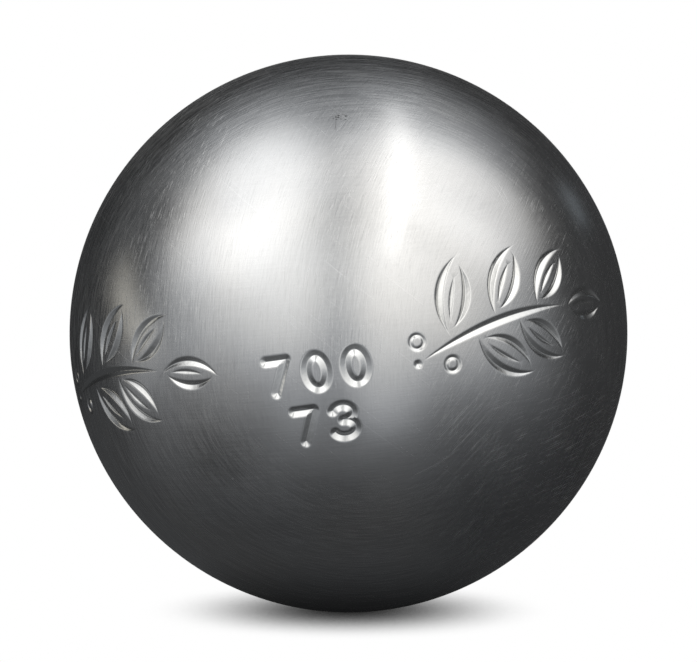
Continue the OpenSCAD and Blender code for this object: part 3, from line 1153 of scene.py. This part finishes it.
def steel_material(name, finish, main_colour, roughness, grain, scratches):
    """Ground steel, with cleaner and brighter walls in the engraving."""
    material, nodes = new_material(name)
    groove = nodes.add("ShaderNodeAttribute", attribute_name="groove").outputs["Fac"]
    surface = nodes.add(
        "ShaderNodeGroup", {"Groove": groove, "Grain": grain, "Scratches": scratches},
        node_tree=ground_steel_group(),
    ).outputs
    base = nodes.blend(groove, (*main_colour, 1), (*finish.cut, 1))
    base = nodes.blend(1.0, base, surface["Tint"], "MULTIPLY")
    tone = nodes.add("ShaderNodeCombineColor", {k: surface["Tone"] for k in (0, 1, 2)}).outputs[0]
    base = nodes.blend(1.0, base, tone, "MULTIPLY")
    rough = nodes.add(
        "ShaderNodeMapRange", {"Value": groove, "To Min": roughness, "To Max": finish.cut_roughness}
    ).outputs["Result"]
    bump = nodes.add(
        "ShaderNodeBump", {"Height": surface["Height"], "Distance": 1.0, "Strength": 1.0}
    ).outputs["Normal"]
    shader = nodes.add(
        "ShaderNodeBsdfPrincipled",
        {"Base Color": base, "Metallic": 1.0, "Roughness": nodes.total(rough, surface["Gloss"]),
         "Normal": bump},
    ).outputs[0]
    nodes.add("ShaderNodeOutputMaterial", {"Surface": shader})
    return material


# Stage


def shown_background(nodes):
    """1 for the rays that see the background: from the camera, or by gloss or transmission."""
    path = nodes.add("ShaderNodeLightPath").outputs
    seen = nodes.math("MAXIMUM", path["Is Camera Ray"], path["Is Glossy Ray"])
    return nodes.math("MAXIMUM", seen, path["Is Transmission Ray"])


def stage_piece(name, points, faces, material):
    """A floor or backdrop, which isn't part of the object."""
    mesh = bpy.data.meshes.new(name)
    mesh.from_pydata(points, [], faces)
    mesh.materials.append(material)
    made = bpy.data.objects.new(name, mesh)
    bpy.context.scene.collection.objects.link(made)
    return made


def floor_material(studio):
    """White to the rays that see the background, with a painted contact shadow close to the ball,
    where the ball leaves little open sky. All other light meets a plain pale surface."""
    material, nodes = new_material("floor")
    # Painted contact shadow: the floor's white emission is darkened where the ball leaves little open
    # sky
    open_sky = nodes.add(
        "ShaderNodeAmbientOcclusion", {"Distance": CONTACT_REACH}, samples=24
    ).outputs["AO"]
    level = nodes.ramp(open_sky, SKY_FOR_BLACK, SKY_FOR_WHITE)
    white = nodes.add("ShaderNodeEmission", {"Color": level, "Strength": 1.0}).outputs[0]
    pale = nodes.add("ShaderNodeBsdfDiffuse", {"Color": (*studio.floor, 1)}).outputs[0]
    seen = shown_background(nodes)
    both = nodes.add("ShaderNodeMixShader", {0: seen, 1: pale, 2: white}).outputs[0]
    nodes.add("ShaderNodeOutputMaterial", {"Surface": both})
    return material


def softbox(name, placed, distance, level):
    """A softbox that faces the ball. Its radiance is its power over pi times its area, at its
    middle, and falls to nothing at its edges over the soft share of its half width and height."""
    light = bpy.data.lights.new(name, "AREA")
    light.shape = "RECTANGLE"
    light.size, light.size_y = placed.width, placed.height
    light.energy = level * math.pi * placed.width * placed.height
    light.color = placed.colour
    light.use_nodes = True
    light.node_tree.nodes.clear()
    nodes = Nodes(light.node_tree)
    own = nodes.add("ShaderNodeNewGeometry").outputs["Parametric"]
    across = nodes.add("ShaderNodeSeparateXYZ", {0: own}).outputs
    strength = 1.0
    for axis in (0, 1):
        off = nodes.math("ABSOLUTE", nodes.math("MULTIPLY_ADD", across[axis], 2.0, -1.0))
        strength = nodes.times(nodes.ramp(off, 1.0, 1.0 - placed.soft), strength)
    glow = nodes.add("ShaderNodeEmission", {"Strength": strength}).outputs[0]
    nodes.add("ShaderNodeOutputLight", {"Surface": glow})
    lamp = bpy.data.objects.new(name, light)
    turn, climb = math.radians(placed.turn), math.radians(placed.climb)
    towards = Vector(on_ball((turn, climb), 1, 1))
    lamp.matrix_world = (
        Matrix.Translation(towards * distance)
        @ towards.to_track_quat("Z", "Y").to_matrix().to_4x4()
        @ Matrix.Rotation(math.radians(placed.roll), 4, "Z")
    )
    bpy.context.scene.collection.objects.link(lamp)
    return lamp


def tent_material(studio):
    """Grey cloth round the ball that gives off its own light, by the direction from the ball's
    centre. In front its level grows forwards and upwards, less a shade low at the right, and
    above it grows towards the top. The greater of the two holds, less a painted darker upright
    band before the camera, by exp(-(x - middle)(x - middle)/(width width)). Added to that are the
    ground's light, less its own shade, the dark behind the ball and a painted shadow of the ball
    at its foot, a least level and the soft glows. The cloth is warmer where it is bright."""
    material, nodes = new_material("tent")
    total, times, less = nodes.total, nodes.times, nodes.less
    place = nodes.add("ShaderNodeTexCoord").outputs["Object"]
    way = nodes.vector("NORMALIZE", place)
    at = nodes.add("ShaderNodeSeparateXYZ", {0: way}).outputs
    zone = nodes.zones(at, TENT_ZONES)
    shade = times(zone.shade_right, zone.shade_low)
    front = times(
        zone.front, zone.front_height, studio.front_level, less(times(shade, SHADE_IN_FRONT))
    )
    top = times(zone.top, zone.top_to_front, studio.top_level)
    back_share = nodes.math("MULTIPLY_ADD", zone.back_left, BACK_AT_LEFT - BACK_AT_RIGHT, BACK_AT_RIGHT)
    behind = times(zone.back, zone.back_height, back_share)
    # The ground's light, painted dark at the ball's foot as the ball's shadow
    ground = times(
        zone.off_the_foot, studio.ground_level, less(times(shade, SHADE_BELOW)), less(behind)
    )
    # A painted darker upright band before the camera
    off = nodes.math("DIVIDE", nodes.math("SUBTRACT", at[0], DARK_BAND_MIDDLE), DARK_BAND_WIDTH)
    dark_band = nodes.math("EXPONENT", times(off, off, -1.0))
    level = times(nodes.math("MAXIMUM", front, top), less(times(dark_band, DARK_BAND_SHARE)))
    level = total(level, ground, studio.dark_level)
    for glow in GLOWS:
        middle = tuple(on_ball(np.radians((glow.turn, glow.climb)), 1, 1))
        near = nodes.vector("DOT_PRODUCT", way, middle)
        start, full = math.cos(math.radians(glow.start)), math.cos(math.radians(glow.full))
        level = total(level, nodes.ramp(near, start, full, 0.0, glow.level))
    lit = nodes.ramp(level, *CLOTH_LEVELS)
    cloth = nodes.blend(lit, (*studio.tent, 1), (*studio.lit_tent, 1))
    shine = nodes.add("ShaderNodeEmission", {"Color": cloth, "Strength": level}).outputs[0]
    nodes.add("ShaderNodeOutputMaterial", {"Surface": shine})
    return material


def tent_mesh(name, reach, low, material):
    """A dome over a flat sheet just above the floor: a profile turned about Z. The sheet's rings
    grow by even shares from a small hole under the ball. Only glossy rays see the tent."""
    ring_count, steps, hole = 96, 40, 2 * MM
    climb = np.linspace(math.asin(low / reach), math.pi / 2, steps)
    sheet = np.geomspace(hole, reach * math.cos(climb[0]), steps)[:-1]
    profile = np.concatenate([
        np.stack([sheet, np.full(len(sheet), low)], -1),
        reach * np.stack([np.cos(climb), np.sin(climb)], -1)[1:-1],
    ])
    turn = np.arange(ring_count) * 2 * math.pi / ring_count
    radius, height = profile[:, :1], profile[:, 1:]
    grid = np.stack([radius * np.cos(turn), radius * np.sin(turn), height + 0 * turn], -1)
    at = np.arange(len(profile) * ring_count).reshape(-1, ring_count)
    ahead = np.roll(at, -1, 1)
    quads = np.stack([at[:-1], ahead[:-1], ahead[1:], at[1:]], -1).reshape(-1, 4)
    tent = stage_piece(name, grid.reshape(-1, 3).tolist(), quads.tolist(), material)
    for kind in ("camera", "diffuse", "transmission", "volume_scatter", "shadow"):
        setattr(tent, f"visible_{kind}", False)


# Operators


def settings():
    """The scene's settings: ball, engraving, steel and studio."""
    return bpy.context.scene.boule


class BouleSettings(bpy.types.PropertyGroup):
    """All settings of the boule."""

    ball: bpy.props.PointerProperty(type=BallSizes, name="Ball", description="Sizes of the ball")
    engraving: bpy.props.PointerProperty(
        type=EngravingSizes, name="Engraving", description="Sizes of the engraving"
    )
    steel: bpy.props.PointerProperty(type=SteelFinish, name="Steel", description="The steel's finish")
    studio: bpy.props.PointerProperty(
        type=StudioSettings, name="Studio", description="Camera and light"
    )


def carried(piece, node):
    """The piece stands for the CAD node and rides on its body."""
    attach(piece, "root")
    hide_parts(node)


def shell_steel():
    """The shells' material, made once."""
    steel = settings().steel
    found = bpy.data.materials.get("ground_shell_steel")
    return found or steel_material(
        "ground_shell_steel", steel, steel.shell, steel.roughness, grain=1.0, scratches=1.0
    )


class BOULE_OT_front_shell(bpy.types.Operator):
    """Builds the front half of the ball, with its sprigs and numerals."""

    bl_idname = "boule.front_shell"
    bl_label = "Front shell"

    def execute(self, context):
        s = settings()
        piece = half_shell(s.ball, s.engraving, FRONT, "front_shell_engraved", shell_steel())
        carried(piece, "front_shell")
        return {"FINISHED"}


class BOULE_OT_rear_shell(bpy.types.Operator):
    """Builds the rear half of the ball, with its sprigs."""

    bl_idname = "boule.rear_shell"
    bl_label = "Rear shell"

    def execute(self, context):
        s = settings()
        piece = half_shell(s.ball, s.engraving, REAR, "rear_shell_engraved", shell_steel())
        carried(piece, "rear_shell")
        return {"FINISHED"}


class BOULE_OT_weld(bpy.types.Operator):
    """Builds the ring of weld, ground flush with the ball."""

    bl_idname = "boule.weld"
    bl_label = "Weld"

    def execute(self, context):
        s = settings()
        steel = steel_material(
            "ground_weld_steel", s.steel, s.steel.weld, s.steel.weld_roughness, grain=0.8, scratches=0.6
        )
        carried(weld_ring(s.ball, "weld_ground", steel), "weld_bead")
        return {"FINISHED"}


class BOULE_OT_studio(bpy.types.Operator):
    """Builds the floor, the backdrop, the light and the camera."""

    bl_idname = "boule.studio"
    bl_label = "Studio"

    def execute(self, context):
        s = settings()
        studio, ball = s.studio, s.ball.radius
        scene = context.scene
        scene.view_settings.view_transform = "Standard"
        around = ((-1, -1), (1, -1), (1, 1), (-1, 1))
        corners = [(x * FLOOR_REACH, y * FLOOR_REACH, -ball) for x, y in around]
        stage_piece("floor", corners, [(0, 1, 2, 3)], floor_material(studio))
        tent_mesh("tent", TENT_RADIUS, -ball + TENT_GAP, tent_material(studio))
        for name, placed in SOFTBOXES.items():
            level = getattr(studio, f"{name}_level")
            softbox(f"softbox_{name}", placed, studio.lamp_distance, level)

        world = bpy.data.worlds.new("studio")
        scene.world = world
        world.use_nodes = True
        world.node_tree.nodes.clear()
        nodes = Nodes(world.node_tree)
        fill = studio.fill_level
        shade = nodes.blend(shown_background(nodes), (fill, fill, fill, 1), (1, 1, 1, 1))
        back = nodes.add("ShaderNodeBackground", {"Color": shade, "Strength": 1.0}).outputs[0]
        nodes.add("ShaderNodeOutputWorld", {"Surface": back})

        camera = bpy.data.objects.new("camera", bpy.data.cameras.new("camera"))
        scene.collection.objects.link(camera)
        away, up = studio.distance, studio.elevation
        aim = Vector((0, 0, IMAGE_DROP * ball / IMAGE_RADIUS))
        camera.location = Vector((0, -away * math.cos(up), away * math.sin(up))) + aim
        camera.rotation_euler = (math.pi / 2 - up, 0, 0)
        camera.data.sensor_width = SENSOR
        ball_angle = math.asin(ball / away)
        camera.data.lens = SENSOR * IMAGE_RADIUS / IMAGE_WIDTH / math.tan(ball_angle)
        scene.camera = camera
        return {"FINISHED"}


class BOULE_PT_panel(bpy.types.Panel):
    """Lists the boule's pieces and settings."""

    bl_idname = "BOULE_PT_panel"
    bl_label = "Boule"
    bl_space_type = "VIEW_3D"
    bl_region_type = "UI"
    bl_category = "Boule"

    def draw(self, context):
        for group in (context.scene.boule.ball, context.scene.boule.engraving,
                      context.scene.boule.steel, context.scene.boule.studio):
            box = self.layout.box()
            for name in group.bl_rna.properties.keys():
                if name not in ("rna_type", "name"):
                    box.prop(group, name)
        for operator in OPERATORS:
            self.layout.operator(operator.bl_idname)


OPERATORS = (BOULE_OT_front_shell, BOULE_OT_rear_shell, BOULE_OT_weld, BOULE_OT_studio)
CLASSES = (BallSizes, EngravingSizes, SteelFinish, StudioSettings, BouleSettings, *OPERATORS,
           BOULE_PT_panel)


def register():
    """Registers the classes and the scene's settings."""
    for c in CLASSES:
        bpy.utils.register_class(c)
    bpy.types.Scene.boule = bpy.props.PointerProperty(
        type=BouleSettings, name="Boule", description="Settings of the boule"
    )


def unregister():
    """Takes them away again."""
    del bpy.types.Scene.boule
    for c in reversed(CLASSES):
        bpy.utils.unregister_class(c)


def main():
    """Builds every piece and the studio."""
    register()
    bpy.ops.boule.front_shell()
    bpy.ops.boule.rear_shell()
    bpy.ops.boule.weld()
    bpy.ops.boule.studio()


if __name__ == "__main__":
    main()
